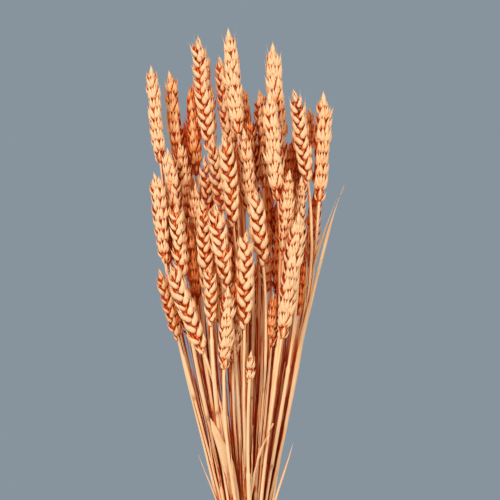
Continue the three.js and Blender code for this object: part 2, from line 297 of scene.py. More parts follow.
def dyed_leaf():
    material, tree = new_material("dyed_wheat_leaf")
    leaf = add(tree, "ShaderNodeAttribute", attribute_name="leaf").outputs["Vector"]
    light = add(tree, "ShaderNodeAttribute", attribute_name="light").outputs["Fac"]
    across = add(tree, "ShaderNodeSeparateXYZ", {0: leaf})
    phase = add(tree, "ShaderNodeMath", {0: across, 1: 2 * math.pi / VEIN_SPACING}, operation="MULTIPLY")
    veins = add(tree, "ShaderNodeMath", {0: phase}, operation="SINE")
    stretched = add(tree, "ShaderNodeMapping",
                    {"Vector": leaf, "Scale": (1 / LEAF_STREAK[0], 1 / LEAF_STREAK[1], 1.0)})
    streak = add(tree, "ShaderNodeTexNoise", {"Vector": stretched, "Scale": 1.0, "Detail": 5.0})
    streaks = add(tree, "ShaderNodeMapRange", {0: streak, 1: 0.32, 2: 0.68, 3: -0.42, 4: 0.3})
    dark, bright = PAINTED_SHADE_LIGHTS
    painted_shade_level = add(tree, "ShaderNodeMapRange", {0: light, 1: dark, 2: bright, 3: -0.1, 4: 0.95})
    level = add(tree, "ShaderNodeMath", {0: painted_shade_level, 1: streaks}, operation="ADD")
    dye_and_painted_shade = add(tree, "ShaderNodeValToRGB", {0: level})
    set_ramp(dye_and_painted_shade.color_ramp, DYE_AND_PAINTED_SHADE_RAMP)
    groove = add(tree, "ShaderNodeMapRange", {0: veins, 1: 0.2, 2: 1.0, 3: 0.0, 4: 0.2})
    lined = add(tree, "ShaderNodeMix", {0: groove, 6: dye_and_painted_shade, 7: linear("#cf7a3a")}, data_type="RGBA")
    height = add(tree, "ShaderNodeMath", {0: veins, 1: 0.4, 2: streak}, operation="MULTIPLY_ADD")
    bump = add(tree, "ShaderNodeBump", {"Height": height, "Strength": 0.6, "Distance": 0.15 * MM})
    finish_material(tree, lined, bump, roughness=0.6)
    return material


leaf_material = dyed_leaf()
print("material:", leaf_material.name, "veins every", VEIN_SPACING / MM, "mm")

# %% [markdown]
# ## The line of each stalk
#
# Every CAD stalk is built of level rings, so its middle line is the row of ring centres, and the
# long way of a ring in the ear gives the direction in which the husks fan out. The ear starts
# where the rings suddenly grow. Reading the lines from the CAD, rather than drawing them again,
# keeps the grown stalks exactly in their places. The CAD line has corners, so it is smoothed.

# %% Read the CAD lines
RING_STEP = 0.2 * MM
SAMPLE = 4 * MM          # distance between the points of a smoothed line
SOFTEN = 5               # points on each side that a smoothed point looks at
STRAW_LIMIT = 1.3 * MM   # a ring that spreads farther than this belongs to the ear


def place_at(line, z):
    return np.array([np.interp(z, line[:, 2], line[:, 0]), np.interp(z, line[:, 2], line[:, 1])])


def level_rings(node):
    """Rings of a CAD strand from the foot up: (z, centre, half sizes, direction of the long way)."""
    points = np.unique(np.array([v.co for v in nodes[node].data.vertices]).round(6), axis=0)
    rings = []
    for z in np.unique((points[:, 2] / RING_STEP).round()) * RING_STEP:
        ring = points[abs(points[:, 2] - z) < RING_STEP / 2 + 1e-6][:, :2]
        centre = ring.mean(0)
        spread = ring - centre
        sizes, ways = np.linalg.eigh(spread.T @ spread / 3)
        rings.append((z, centre, np.sqrt(np.maximum(sizes[::-1], 0)), ways[:, 1]))
    return rings


def smooth_line(rings):
    """Points along a strand at even heights, with the corners of the CAD line rounded off."""
    heights = [ring[0] for ring in rings]
    count = max(8, int((heights[-1] - heights[0]) / SAMPLE))
    z = np.linspace(heights[0], heights[-1], count)
    line = [z]
    for axis in (0, 1):
        values = np.interp(z, heights, [ring[1][axis] for ring in rings])
        reach = min(SOFTEN, count // 3)
        padded = np.concatenate([2 * values[0] - values[reach:0:-1], values,
                                 2 * values[-1] - values[-2:-reach - 2:-1]])
        weights = np.hanning(2 * reach + 3)[1:-1]
        line.append(np.convolve(padded, weights / weights.sum(), "valid"))
    return np.stack([line[1], line[2], line[0]], axis=1)


stalk_names = sorted(name for name in nodes if name.startswith("wheat_stalk"))
stalks = {}
for name in stalk_names:
    rings = level_rings(name)
    widest = max(range(len(rings)), key=lambda i: rings[i][2][0])
    base = max(i for i in range(widest) if rings[i][2][0] < STRAW_LIMIT)
    stalks[name] = {
        "line": smooth_line(rings), "ear_base": rings[base][0], "tip": rings[-1][0],
        "fan": 2 * rings[widest][2][0], "way": rings[widest][3],
        "radii": [(ring[0], ring[2].mean()) for ring in rings[:base + 1]],
    }
tallest = max(stalks.values(), key=lambda s: s["tip"])
fans = [stalk["fan"] / MM for stalk in stalks.values()]
print("stalks:", len(stalks), "tallest", round(tallest["tip"] / MM), "mm, ear width",
      round(min(fans), 1), "to", round(max(fans), 1), "mm")

# %% [markdown]
# ## One husk
#
# A glume or lemma is boat shaped: widest a third of the way up, keeled along its back, flatter
# inside, and drawn out at the tip into a beak or a short bristle, the awn. It could be sculpted
# with far more faces, but it is repeated thousands of times, so it has only a few dozen and
# relies on smooth shading. Each point stores how far across and along the husk it lies, and
# whether it is inside.

# %% Build a husk
HUSK_SIDES = 7
# rings from the foot to the tip: (share of the length, share of the girth)
HUSK_ROWS = [(0.0, 0.55), (0.10, 0.85), (0.28, 1.0), (0.50, 0.95), (0.72, 0.68), (0.90, 0.30), (1.0, 0.10)]
FLATTER_INSIDE = 0.35    # depth of the inner half as a share of the outer half's
KEEL = 0.14              # height of the keel as a share of the depth
BOW = 0.8 * MM           # how far the middle of a husk stands out from a straight line


def husk_points(length, width, depth, awn):
    """Points (x across, y to the back, z along) and their husk attribute, ring by ring."""
    points, marks = [], []
    for share, girth in HUSK_ROWS:
        centre = BOW * math.sin(math.pi * min(1, share * 1.1)) - 0.1 * depth * share
        for side in range(HUSK_SIDES):
            angle = math.pi / 2 + 2 * math.pi * side / HUSK_SIDES
            back = math.sin(angle)
            thick = depth * (1.0 if back > 0 else FLATTER_INSIDE) * girth ** 0.9
            keel = KEEL * depth * girth if side == 0 else 0.0
            points.append((width / 2 * girth * math.cos(angle), centre + thick / 2 * back + keel,
                           share * length))
            # the third value marks the inner side, which the material paints in shade
            marks.append((math.cos(angle), share, 1.0 if back < -0.5 and share < 0.8 else 0.0))
    points += [(0, -0.1 * depth, -0.03 * length), (0, -0.25 * depth - 0.12 * awn, length + awn)]
    marks += [(0, 0, 0.5), (0, 0.95, 0)]
    return points, marks


def husk_faces(start):
    """Faces of a husk whose points begin at a number: rings of quads, closed at foot and tip."""
    faces = []
    rows = len(HUSK_ROWS)
    foot, tip = start + rows * HUSK_SIDES, start + rows * HUSK_SIDES + 1
    last = start + (rows - 1) * HUSK_SIDES
    for side in range(HUSK_SIDES):
        nxt = (side + 1) % HUSK_SIDES
        for row in range(rows - 1):
            a, b = start + row * HUSK_SIDES, start + (row + 1) * HUSK_SIDES
            faces.append((a + side, a + nxt, b + nxt, b + side))
        faces += [(start + nxt, start + side, foot), (last + side, last + nxt, tip)]
    return faces


print("husk:", len(husk_points(10 * MM, 4 * MM, 2 * MM, 1 * MM)[0]), "points,", len(husk_faces(0)), "faces")

# %% [markdown]
# ## Spikelets
#
# A spikelet is a short fan: two glumes outside and low, then florets that overlap upwards, each
# in its own lemma. It is modelled once in a few variants, standing on the row side (+Y) with its
# fan spread along X. Scattering a few variants looks as lively as modelling every one, as long as
# each is turned and scaled a little. The lowest ones on an ear are small and sterile, and one
# stands upright on the very tip.

# %% Build the spikelets
def pair(x, y, z, side_lean, out_lean, spin, *sizes):
    """The same husk on both sides of the fan."""
    return [(x, y, z, side_lean, out_lean, -spin, *sizes), (-x, y, z, -side_lean, out_lean, spin, *sizes)]


# each husk: base x, y, z, lean to the side, lean out, spin, length, width, depth, awn; mm and degrees
GLUMES = pair(1.9, 0.7, -0.6, 20, 12, 72, 9.0, 4.8, 2.2, 1.5)
FLORETS = pair(1.4, 1.8, 0.9, 18, 5, 43, 10.8, 4.7, 2.4, 2.0)
BEARDED = pair(1.4, 1.8, 0.9, 17, 5, 43, 10.8, 4.4, 2.3, 8.0)
INNER_FLORETS = pair(0.9, 2.6, 1.4, 7, 2, 18, 9.8, 3.9, 2.1, 1.6)
MIDDLE = (0.2, 2.5, 3.0, 1, 4, 0, 9.6, 3.4, 2.1, 1.8)
OTHER_MIDDLE = (-0.6, 1.6, 4.2, -7, 0, 8, 9.4, 3.4, 2.2, 2.0)
GRAIN_FILLED = (0.0, 0.2, -1.2, 0, 3, 0, 11.4, 7.6, 5.4, 0.3)
TOWARDS_RACHIS = (0.2, 0.2, 0.8, 2, -7, 180, 10.4, 7.0, 3.4, 0.6)
# painted shade: these husks are marked inside all over, so they are painted deep rust where they show
# between the others
SHADE_PAINTED_CORE = [GRAIN_FILLED, TOWARDS_RACHIS]       # dyed right through, seen only between the others
BODY = GLUMES + FLORETS + SHADE_PAINTED_CORE
TERMINAL = pair(0.9, 0, 0, 10, 0, 80, 8.0, 4.2, 2.6, 0.8) + [
    (0, 0.9, 1.0, 0, -5, 0, 8.4, 4.0, 2.6, 1.2), (0, -0.9, 1.0, 0, 5, 180, 8.4, 4.0, 2.6, 1.0),
    (0.2, 0.3, 2.6, 2, 0, 0, 11.4, 4.2, 2.6, 3.6), (0.1, -0.3, 2.6, 2, 0, 180, 11.0, 4.0, 2.6, 2.0)]
SHAKE = 4                # degrees that a husk may be off in each direction


def spikelet(name, husks, seed):
    """Joins husks into one mesh, each shaken and grown a little."""
    dice = random.Random(seed)
    points, marks, faces = [], [], []
    for husk in husks:
        x, y, z, side_lean, out_lean, spin, length, width, depth, awn = husk
        shake = [math.radians(dice.uniform(-SHAKE, SHAKE)) for _ in range(3)]
        grow = dice.uniform(0.94, 1.06)
        turn = (Matrix.Translation((x * MM, y * MM, z * MM))
                @ Matrix.Rotation(math.radians(side_lean) + shake[0], 4, "Y")
                @ Matrix.Rotation(-math.radians(out_lean) + shake[1], 4, "X")
                @ Matrix.Rotation(math.radians(spin) + shake[2], 4, "Z"))
        faces += husk_faces(len(points))
        here, mark = husk_points(length * MM * grow, width * MM, depth * MM,
                                 awn * MM * dice.uniform(0.5, 1.4))
        points += [turn @ Vector(p) for p in here]
        # the core husks are marked inside all over: painted shade
        marks += [(across, along, 1.0) for across, along, _ in mark] if husk in SHADE_PAINTED_CORE else mark
    mesh = bpy.data.meshes.new(name)
    mesh.from_pydata(points, [], faces)
    mesh.attributes.new("husk", "FLOAT_VECTOR", "POINT").data.foreach_set("vector", np.ravel(marks))
    mesh.shade_smooth()
    return bpy.data.objects.new(name, mesh)


spikelets = bpy.data.collections.new("spikelets")
for name, husks in {
    "spikelet_0": BODY + INNER_FLORETS,
    "spikelet_1": BODY + INNER_FLORETS + [MIDDLE],
    "spikelet_2": BODY + INNER_FLORETS + [OTHER_MIDDLE],
    "spikelet_3": BODY + INNER_FLORETS[:1] + [MIDDLE, OTHER_MIDDLE],
    "spikelet_bearded": GLUMES + BEARDED + INNER_FLORETS + [MIDDLE, GRAIN_FILLED],
    "spikelet_small": GLUMES + [MIDDLE, GRAIN_FILLED],
    "spikelet_terminal": TERMINAL,
}.items():
    spikelets.objects.link(spikelet(name, husks, 10 + len(spikelets.objects)))

# %% [markdown]
# ## The straw's branch of the tree
#
# A stalk follows a rule: the straw is a circle swept along the line, and the ear is a spikelet
# every few millimetres, left and right in turn. So one Geometry Nodes tree grows them all. Its
# input is the stalk's line as a chain of edges, with a thickness at every point and a mark on the
# points of the ear. The first branch is the straw. A Curve to Mesh node sweeps a ring of ten
# points along the whole line, rachis included. The length along the line and the place on the
# ring are stored, because the streaks of the straw follow them.

# %% Build the straw's branch
def straw_branch(tree, given):
    rail = add(tree, "GeometryNodeMeshToCurve", {"Mesh": given["Line"]})
    thickness = add(tree, "GeometryNodeInputNamedAttribute", {"Name": "thickness"}, data_type="FLOAT")
    run = add(tree, "GeometryNodeSplineParameter").outputs["Length"]
    measured = add(tree, "GeometryNodeStoreNamedAttribute", {"Geometry": rail, "Name": "run", "Value": run},
                   data_type="FLOAT", domain="POINT")
    circle = add(tree, "GeometryNodeCurvePrimitiveCircle", {"Resolution": 10, "Radius": 1.0})
    where = add(tree, "GeometryNodeInputPosition")
    ring = add(tree, "GeometryNodeStoreNamedAttribute", {"Geometry": circle, "Name": "ring", "Value": where},
               data_type="FLOAT_VECTOR", domain="POINT")
    tube = add(tree, "GeometryNodeCurveToMesh",
               {"Curve": measured, "Profile Curve": ring, "Scale": thickness, "Fill Caps": True})
    return add(tree, "GeometryNodeSetMaterial", {"Geometry": tube, "Material": given["Straw"]})


# %% [markdown]
# ## The ear's branch of the tree
#
# The second branch resamples the marked part of the line in even steps and puts a spikelet on
# each step. Every other one is turned to the other side, and each leans out from the rachis. An
# ear is slim at its foot, full for most of its length and slimmer again at its tip, and two
# curves give the lean and the size along it.

# %% Build the ear's branch
LEAN_ALONG = [(0.0, 0.75), (0.3, 1.0), (0.8, 0.9), (1.0, 0.35)]
GIRTH_ALONG = [(0.0, 0.7), (0.12, 0.88), (0.3, 1.0), (0.72, 1.0), (0.9, 0.88), (1.0, 0.78)]
SHAKEN = (0.09, 0.13, 0.3)      # radians that a spikelet may be off: lean out, lean to the side, turn
SMALL, AWNED, UPRIGHT = 5, 4, 6     # their numbers among the spikelets, in the order of their names


def spikelet_turn(tree, given, share, last):
    """The rotation of each spikelet: along the rachis, to its side, then leaning out."""
    tangent = add(tree, "GeometryNodeInputTangent")
    standing = add(tree, "FunctionNodeAxesToRotation",
                   {"Primary Axis": tangent, "Secondary Axis": given["Fan direction"]},
                   primary_axis="Z", secondary_axis="X")
    number = add(tree, "GeometryNodeInputIndex")
    side = add(tree, "ShaderNodeMath", {0: number, 1: 2.0}, operation="MODULO")
    half_turn = add(tree, "ShaderNodeMath", {0: side, 1: math.pi}, operation="MULTIPLY")
    lean_share = add(tree, "ShaderNodeFloatCurve", {"Value": share})
    set_curve(lean_share.mapping, LEAN_ALONG)
    lean = add(tree, "ShaderNodeMath", {0: lean_share, 1: given["Lean"]}, operation="MULTIPLY")
    # a negative turn about X leans out; at the tip it is nought, so that spikelet stays upright
    outwards = add(tree, "ShaderNodeMath", {0: last, 1: 1.0}, operation="SUBTRACT")
    lean_out = add(tree, "ShaderNodeMath", {0: lean, 1: outwards}, operation="MULTIPLY")
    shake = add(tree, "FunctionNodeRandomValue",
                {"Min": [-angle for angle in SHAKEN], "Max": SHAKEN, "Seed": given["Seed"]},
                data_type="FLOAT_VECTOR")
    to_side = add(tree, "ShaderNodeCombineXYZ", {2: half_turn})
    to_lean = add(tree, "ShaderNodeCombineXYZ", {0: lean_out})
    shaken_lean = add(tree, "ShaderNodeVectorMath", {0: to_lean, 1: shake}, operation="ADD")
    turned = add(tree, "FunctionNodeRotateRotation", {"Rotation": standing, "Rotate By": to_side},
                 rotation_space="LOCAL")
    return add(tree, "FunctionNodeRotateRotation", {"Rotation": turned, "Rotate By": shaken_lean},
               rotation_space="LOCAL")


def spikelet_size(tree, given, share):
    girth = add(tree, "ShaderNodeFloatCurve", {"Value": share})
    set_curve(girth.mapping, GIRTH_ALONG)
    grown = add(tree, "ShaderNodeMath", {0: girth, 1: given["Size"]}, operation="MULTIPLY")
    luck = add(tree, "FunctionNodeRandomValue", {2: 0.9, 3: 1.1, "Seed": given["Seed"]}, data_type="FLOAT")
    return add(tree, "ShaderNodeMath", {0: grown, 1: luck}, operation="MULTIPLY")


def ear_branch(tree, given):
    in_ear = add(tree, "GeometryNodeInputNamedAttribute", {"Name": "in_ear"}, data_type="BOOLEAN")
    kept = add(tree, "GeometryNodeSeparateGeometry", {"Geometry": given["Line"], "Selection": in_ear},
               domain="POINT")
    rachis = add(tree, "GeometryNodeMeshToCurve", {"Mesh": kept})
    steps = add(tree, "GeometryNodeResampleCurve", {"Curve": rachis, "Length": given["Pitch"]},
                mode="LENGTH")
    share = add(tree, "GeometryNodeSplineParameter").outputs["Factor"]
    first, few, last = [
        add(tree, "GeometryNodeCurveEndpointSelection", {"Start Size": start, "End Size": end})
        for start, end in ((1, 0), (0, given["Awned"]), (0, 1))]
    # one of the four full ones, but a small one at the foot, bearded ones near the top and the
    # upright one at the very tip
    kind = add(tree, "FunctionNodeRandomValue", {4: 0, 5: 3, "Seed": given["Seed"]}, data_type="INT")
    for selection, special in ((first, SMALL), (few, AWNED), (last, UPRIGHT)):
        kind = add(tree, "GeometryNodeSwitch", {0: selection, 1: kind, 2: special}, input_type="INT")
    kinds = add(tree, "GeometryNodeCollectionInfo",
                {"Collection": given["Spikelets"], "Separate Children": True, "Reset Children": True})
    ear = add(tree, "GeometryNodeInstanceOnPoints",
              {"Points": steps, "Instance": kinds, "Pick Instance": True, "Instance Index": kind,
               "Rotation": spikelet_turn(tree, given, share, last),
               "Scale": spikelet_size(tree, given, share)})
    tone = add(tree, "FunctionNodeRandomValue", {2: -0.12, 3: 0.12, "Seed": given["Seed"]},
               data_type="FLOAT")
    whole_tone = add(tree, "ShaderNodeMath", {0: given["Tone"], 1: tone}, operation="ADD")
    toned = add(tree, "GeometryNodeStoreNamedAttribute",
                {"Geometry": ear, "Name": "tone", "Value": whole_tone}, data_type="FLOAT", domain="INSTANCE")
    real = add(tree, "GeometryNodeRealizeInstances", {"Geometry": toned})
    return add(tree, "GeometryNodeSetMaterial", {"Geometry": real, "Material": given["Husk"]})


# %% [markdown]
# ## The whole tree
#
# The two branches are joined, and every point gets the tone of its stalk. The instances were
# made real in the ear's branch, because an export drops instances.

# %% Build the tree
PITCH = 4.2 * MM           # from one spikelet to the next, so 8.4 mm on the same side
DESIGN_WIDTH = 12.2 * MM   # fan width of the spikelets as modelled above


def stalk_tree():
    tree, given = new_tree("grow_stalk", {
        "Line": "Geometry", "Spikelets": "Collection", "Pitch": "Float", "Lean": "Float", "Size": "Float",
        "Fan direction": "Vector", "Tone": "Float", "Awned": "Int", "Seed": "Int", "Husk": "Material",
        "Straw": "Material"}, "Stalk")
    both = add(tree, "GeometryNodeJoinGeometry")
    for branch in (straw_branch(tree, given), ear_branch(tree, given)):
        tree.links.new(branch.outputs[0], both.inputs[0])
    marked = add(tree, "GeometryNodeStoreNamedAttribute",
                 {"Geometry": both, "Name": "stalk_tone", "Value": given["Tone"]},
                 data_type="FLOAT", domain="POINT")
    smooth = add(tree, "GeometryNodeSetShadeSmooth", {"Geometry": marked, "Shade Smooth": True})
    add(tree, "NodeGroupOutput", {"Stalk": smooth})
    return tree


grow_stalk = stalk_tree()
print("tree:", grow_stalk.name, len(grow_stalk.nodes), "nodes")

# %% [markdown]
# ## Straw thickness
#
# A straw is thickest at the foot. It has a swollen joint every hand's breadth, and above each
# joint the leaf's sheath wraps it and makes it a little thicker, up to a small collar where the
# blade was stripped off. Joints could be separate rings, but on a real straw they are one with
# it. So the sweep reads a thickness from each point of the line, and this function fills it in.

# %% Thickness along a straw
KNOT = {"half": 2.2 * MM, "swell": 0.42 * MM, "darkness": 0.7}
SHEATH = {"thick": 0.4 * MM, "collar": 0.25 * MM, "collar_height": 5 * MM, "shortest": 75, "longest": 135}
JOINT_HEIGHTS = [95 * MM, 300 * MM]     # typical heights of the joints
JOINT_SPREAD = 75                       # millimetres up or down from there
WORN = 0.3                              # share of the joints that have lost their sheath
RACHIS = 1.3 * MM                       # radius at the foot of the ear; it ends at 0.4 of this
BARE = {"joint": 40 * MM, "sheath": 12 * MM}    # kept free below the ear


def straw_thickness(z, stalk, dice):
    """Radius and joint mark at the heights z of one stalk."""
    ear_base = stalk["ear_base"]
    up_the_ear = (z - ear_base) / (stalk["tip"] - ear_base)
    radius = np.interp(z, *zip(*stalk["radii"]))
    radius = np.where(z > ear_base, RACHIS * (1 - 0.6 * up_the_ear), radius)
    mark = np.zeros(len(z))
    for height in JOINT_HEIGHTS:
        knot = height + dice.uniform(-JOINT_SPREAD, JOINT_SPREAD) * MM
        sheath = dice.uniform(SHEATH["shortest"], SHEATH["longest"]) * MM
        worn = dice.random() < WORN
        if knot > ear_base - BARE["joint"]:
            continue
        near = np.exp(-((z - knot) / KNOT["half"]) ** 2)
        radius = radius + KNOT["swell"] * near
        mark = np.maximum(mark, near * KNOT["darkness"])
        end = min(knot + sheath, ear_base - BARE["sheath"])
        if not worn:
            wrapped = (z > knot) & (z < end)
            collar = wrapped & (z > end - SHEATH["collar_height"])
            radius = radius + np.where(wrapped, SHEATH["thick"], 0) + np.where(collar, SHEATH["collar"], 0)
    return radius, mark


# %% [markdown]
# ## Leaf shells
#
# A leaf is a strip of paper laid along a path. A flat plane with Solidify would do for a straight
# one, but these wrap their path closely at the foot and open towards the tip. So one function
# lays a curved cross-section from path point to path point and closes it into a thin shell with
# an outer and an inner side. If the shell's volume comes out negative, its faces point inwards
# and are turned round.

# %% Leaf shells
LEAF_COLUMNS = 7
LEAF_THICKNESS = 0.22 * MM
NARROW = 1.5 * MM        # a leaf narrower than this is thinner too, down to its tip


def leaf_points(path, outward, widths, wraps, lifts, ripple, phase):
    """Two layers of rows: at each path point a strip of a width, curved through an angle."""
    points, marks = [], []
    for layer in (0, 1):
        for row, centre in enumerate(path):
            facing = Vector(outward[row]).normalized()
            sideways = Vector((0, 0, 1)).cross(facing).normalized()
            bend = widths[row] / wraps[row]
            thin = LEAF_THICKNESS * min(1, widths[row] / NARROW)
            for column in range(LEAF_COLUMNS):
                share = 2 * column / (LEAF_COLUMNS - 1) - 1
                angle = share * wraps[row] / 2
                wave = ripple * math.sin(phase + row * 0.9 + share * 2.2) * abs(share)
                radius = bend - layer * thin
                # a strip that wraps far round keeps the path inside it, an open one lies on it
                sunk = bend * min(1, 2.4 / wraps[row]) ** 3
                out = radius * math.cos(angle) - sunk + lifts[row] + wave
                points.append(Vector(centre) + facing * out + sideways * radius * math.sin(angle))
                marks.append((share * widths[row] / 2, centre[2], 0.0))
    return points, marks


def leaf_faces(rows):
    """Faces of both layers and of the four thin edges between them."""
    faces = []
    inner = rows * LEAF_COLUMNS        # number of the first point of the inner layer

    def close_edge(a, b, flip):
        edge = (a, a + inner, b + inner, b)
        faces.append(edge[::-1] if flip else edge)

    for row in range(rows - 1):
        for column in range(LEAF_COLUMNS - 1):
            a = row * LEAF_COLUMNS + column
            b = a + LEAF_COLUMNS
            faces.append((a, b, b + 1, a + 1))
            faces.append((a + inner, a + 1 + inner, b + 1 + inner, b + inner))
        for column in (0, LEAF_COLUMNS - 1):
            close_edge(row * LEAF_COLUMNS + column, (row + 1) * LEAF_COLUMNS + column, column > 0)
    for row in (0, rows - 1):
        for column in range(LEAF_COLUMNS - 1):
            close_edge(row * LEAF_COLUMNS + column, row * LEAF_COLUMNS + column + 1, row == 0)
    return faces


def leaf_shell(name, path, outward, widths, wraps, lifts, ripple, dice):
    """A closed shell along a path, facing outward."""
    points, marks = leaf_points(path, outward, widths, wraps, lifts, ripple, dice.uniform(0, 6))
    mesh = bpy.data.meshes.new(name)
    mesh.from_pydata(points, [], leaf_faces(len(path)))
    mesh.attributes.new("leaf", "FLOAT_VECTOR", "POINT").data.foreach_set("vector", np.ravel(marks))
    work = bmesh.new()
    work.from_mesh(mesh)
    bmesh.ops.recalc_face_normals(work, faces=work.faces)
    if work.calc_volume(signed=True) < 0:
        bmesh.ops.reverse_faces(work, faces=work.faces)
    work.to_mesh(mesh)
    work.free()
    mesh.shade_smooth()
    mesh.materials.append(leaf_material)
    return mesh


# %% [markdown]
# ## Leaves that still hug the straw
#
# Most straws keep some dry sheaths, and the blade of each runs on beside the straw. They are
# broader inside the bundle, where they fill the gaps between the straws as sheets that the
# painted shade turns deep rust. They grew as one with the straw, so they are joined to it.

# %% Leaves on a straw
# the last is added inside the bundle, where the leaves fill the gaps as sheets dark with painted shade
BREADTH = {"narrowest": 2.0, "broadest": 3.8, "gap_filling": 8.0}     # mm; the last is added inside


def share_outside(line, z):
    """Share of the stalks that stand farther out than this one at a height."""
    reach = np.hypot(*place_at(line, z))
    return np.mean([np.hypot(*place_at(other["line"], z)) > reach for other in stalks.values()])


def hugging_leaf(name, line, foot, length, outward, dice):
    """A leaf that wraps a straw from its foot up and opens near its tip."""
    share = np.linspace(0, 1, 14)
    z = foot + length * share
    path = np.column_stack([*place_at(line, z), z])
    broad = dice.uniform(BREADTH["narrowest"], BREADTH["broadest"]) * MM
    broad += BREADTH["gap_filling"] * MM * share_outside(line, path[5][2]) ** 1.5
    widths = broad * np.interp(share, [0, 0.1, 0.55, 0.85, 1], [0.85, 1.0, 0.85, 0.4, 0.06])
    wraps = np.interp(share, [0, 0.35, 0.7, 1], [4.2, 3.2, 1.9, 0.9])
    away = dice.uniform(0.8, 5.5) * MM       # how far the tip leans away from the straw
    lifts = away * np.interp(share, [0, 0.2, 0.6, 1], [0.0, 0.2, 0.9, 1.0]) + 0.1 * MM
    return leaf_shell(name, path, [outward] * len(share), widths, wraps, lifts, 0.35 * MM, dice)


LEAF_FEET = [h * MM for h in (140, 172, 205, 240, 280, 325)]     # where sheaths open, give or take
LEAF_LENGTHS = (70, 150)         # millimetres
BARE_NECK = 15 * MM              # no leaf reaches nearer to the ear than this
STRIPPED = 0.15                  # share of the leaves that were stripped off


def leaves_of(stalk, dice):
    line = stalk["line"]
    leaves = []
    for number, foot in enumerate(LEAF_FEET):
        foot = foot + dice.uniform(-25, 25) * MM
        length = dice.uniform(*LEAF_LENGTHS) * MM
        if foot + length > stalk["ear_base"] - BARE_NECK or dice.random() < STRIPPED:
            continue
        x, y = place_at(line, foot)
        inward = math.atan2(-y, -x) + dice.uniform(-1.3, 1.3)
        leaves.append(hugging_leaf(f"leaf_{number}", line, foot, length,
                                   (math.cos(inward), math.sin(inward), 0), dice))
    return leaves


# %% [markdown]
# ## Grow every stalk
#
# Each line becomes a chain of edges with its attributes, because a mesh can carry named values
# into a tree. The tree grows it and the result is kept as a plain mesh, one for each stalk. The
# sweep closes the foot of the straw with a flat cap, and insetting that cap and pushing it up
# opens it into a hollow end.

# %% Helpers to grow a piece
def chain(name, points, attributes):
    mesh = bpy.data.meshes.new(name)
    mesh.from_pydata([tuple(p) for p in points], [(i, i + 1) for i in range(len(points) - 1)], [])
    for key, (kind, values) in attributes.items():
        mesh.attributes.new(key, kind, "POINT").data.foreach_set("value", values)
    return bpy.data.objects.new(name, mesh)


def grown(source, tree, inputs, name):
    """Runs a tree on an object and returns what it made as a plain mesh object."""
    scene_objects = bpy.context.scene.collection.objects
    scene_objects.link(source)
    modifier = source.modifiers.new("grow", "NODES")
    modifier.node_group = tree
    sockets = tree.interface.items_tree
    identifiers = {socket.name: socket.identifier for socket in sockets if socket.in_out == "INPUT"}
    for key, value in inputs.items():
        modifier[identifiers[key]] = value
    source.update_tag()
    graph = bpy.context.evaluated_depsgraph_get()
    mesh = bpy.data.meshes.new_from_object(source.evaluated_get(graph), depsgraph=graph,
                                           preserve_all_data_layers=True)
    bpy.data.objects.remove(source)
    mesh.name = name
    piece = bpy.data.objects.new(name, mesh)
    scene_objects.link(piece)
    return piece


WALL = 0.55 * MM         # thickness of the straw's wall at the cut
CREASE = 0.05 * MM       # a second inset keeps the edge of the hollow sharp
HOLLOW = 6 * MM          # depth of the hollow


def open_foot(mesh):
    """Turns the flat cap at the foot of a straw into a wall round a hollow."""
    mesh.materials.append(cut_material)
    work = bmesh.new()
    work.from_mesh(mesh)
    for cap in [f for f in work.faces if len(f.verts) > 6 and f.normal.z < -0.8]:
        cap.material_index = len(mesh.materials) - 1
        cap.smooth = False
        for inset in (WALL, CREASE):
            for face in bmesh.ops.inset_individual(work, faces=[cap], thickness=inset)["faces"]:
                face.smooth = False
        for vertex in cap.verts:
            vertex.co.z += HOLLOW
    work.to_mesh(mesh)
    work.free()


def join_meshes(piece, extra_meshes):
    """Joins extra meshes into a piece, attributes and materials included."""
    others = []
    for mesh in extra_meshes:
        other = bpy.data.objects.new("extra", mesh)
        bpy.context.scene.collection.objects.link(other)
        others.append(other)
    with bpy.context.temp_override(active_object=piece, object=piece, selected_objects=[piece, *others],
                                   selected_editable_objects=[piece, *others]):
        bpy.ops.object.join()


# %% Grow the stalks
LINE_STEP = 2.5 * MM
EAR_END = 12 * MM                # the upright spikelet stands this far below the ear's tip
LEAN = math.radians(17)          # of a spikelet in the fullest part of the ear
AWNED_EARS = (4, 5, 8, 9, 10, 12, 28, 46)
AWNED_SPIKELETS = 4              # of such an ear, counted from its tip
# painted shade: these ears stand behind others and get a low tone; from FIRST_BACK_EAR on they stand at the
# back and get full painted shade
SHADE_PAINTED_EARS = (2, 3, 7, 11, 13, 15, 19, 30, 31, 34, 35, 37, 44, *range(45, 54))
FIRST_BACK_EAR = 46              # from here on they stand at the back and hardly bleached

